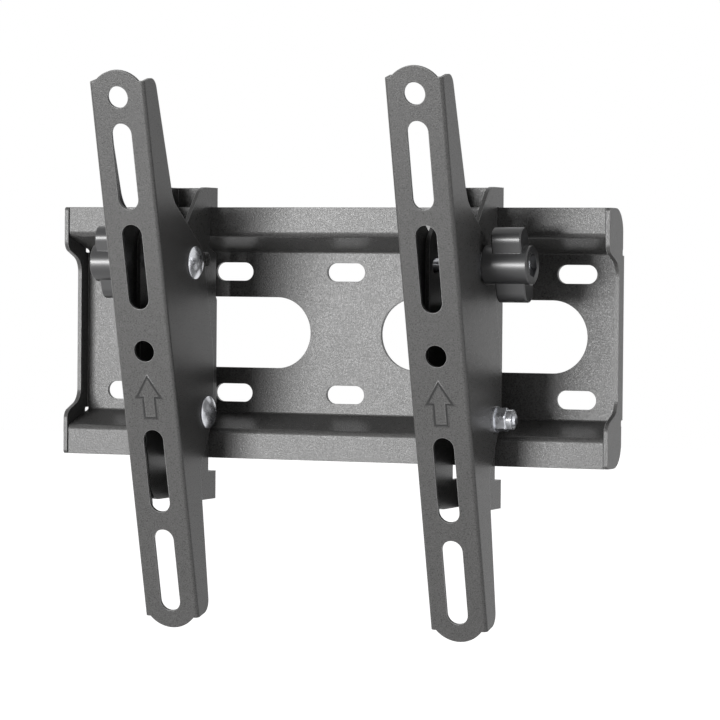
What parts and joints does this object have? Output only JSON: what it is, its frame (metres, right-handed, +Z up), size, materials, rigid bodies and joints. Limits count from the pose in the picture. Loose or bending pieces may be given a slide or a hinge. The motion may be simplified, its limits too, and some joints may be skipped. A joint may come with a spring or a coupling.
{
  "type": "tv wall mount",
  "caption": "Tilting wall mount for a flat screen: a folded wall plate with two channel arms that hook on, slide and tilt on wing-knob clamps.",
  "frame": {"origin": "middle of the wall plate's back face, on the wall", "axes": "+X right along the wall seen from the room, +Y into the wall, +Z up"},
  "size_m": [0.28, 0.1053, 0.2634],
  "materials": {
    "coated_steel": "fine-textured dark grey powder coat",
    "zinc_steel": "bright zinc plate",
    "knob_plastic": "satin black moulding",
    "spacer_plastic": "matte black nylon",
    "nut_ring_plastic": "natural nylon"
  },
  "bodies": {
    "plate": {"wall_plate": "coated_steel"},
    "left_bracket": {"left_hook_bracket": "coated_steel"},
    "left_arm": {"left_arm": "coated_steel", "left_pivot_bolt": "zinc_steel", "left_pivot_washer": "zinc_steel", "left_pivot_nut": "zinc_steel", "left_pivot_nut_ring": "nut_ring_plastic", "left_pivot_spacer_inner": "spacer_plastic", "left_pivot_spacer_outer": "spacer_plastic", "left_tilt_bolt": "zinc_steel", "left_tilt_washer": "zinc_steel", "left_tilt_spacer_inner": "spacer_plastic", "left_tilt_spacer_outer": "spacer_plastic"},
    "left_knob": {"left_knob": "knob_plastic", "left_knob_nut": "zinc_steel"},
    "right_bracket": {"right_hook_bracket": "coated_steel"},
    "right_arm": {"right_arm": "coated_steel", "right_pivot_bolt": "zinc_steel", "right_pivot_washer": "zinc_steel", "right_pivot_nut": "zinc_steel", "right_pivot_nut_ring": "nut_ring_plastic", "right_pivot_spacer_inner": "spacer_plastic", "right_pivot_spacer_outer": "spacer_plastic", "right_tilt_bolt": "zinc_steel", "right_tilt_washer": "zinc_steel", "right_tilt_spacer_inner": "spacer_plastic", "right_tilt_spacer_outer": "spacer_plastic"},
    "right_knob": {"right_knob": "knob_plastic", "right_knob_nut": "zinc_steel"}
  },
  "joints": [
    {"name": "left_rail_slide", "type": "slide", "parent": "plate", "child": "left_bracket", "axis": [1, 0, 0], "range_m": [-0.0248, 0.0532]},
    {"name": "left_tilt", "type": "hinge", "parent": "left_bracket", "child": "left_arm", "pos_m": [-0.0734, -0.0309, -0.0381], "axis": [1, 0, 0], "range_deg": [-14.3, 0.7]},
    {"name": "left_knob_turn", "type": "hinge", "parent": "left_arm", "child": "left_knob", "pos_m": [-0.0734, -0.04687, 0.03347], "axis": [1, 0, 0], "range_deg": [0, 60]},
    {"name": "right_rail_slide", "type": "slide", "parent": "plate", "child": "right_bracket", "axis": [1, 0, 0], "range_m": [-0.0532, 0.0248]},
    {"name": "right_tilt", "type": "hinge", "parent": "right_bracket", "child": "right_arm", "pos_m": [0.0734, -0.0309, -0.0381], "axis": [1, 0, 0], "range_deg": [-14.3, 0.7]},
    {"name": "right_knob_turn", "type": "hinge", "parent": "right_arm", "child": "right_knob", "pos_m": [0.0734, -0.04687, 0.03347], "axis": [1, 0, 0], "range_deg": [0, 60]}
  ]
}
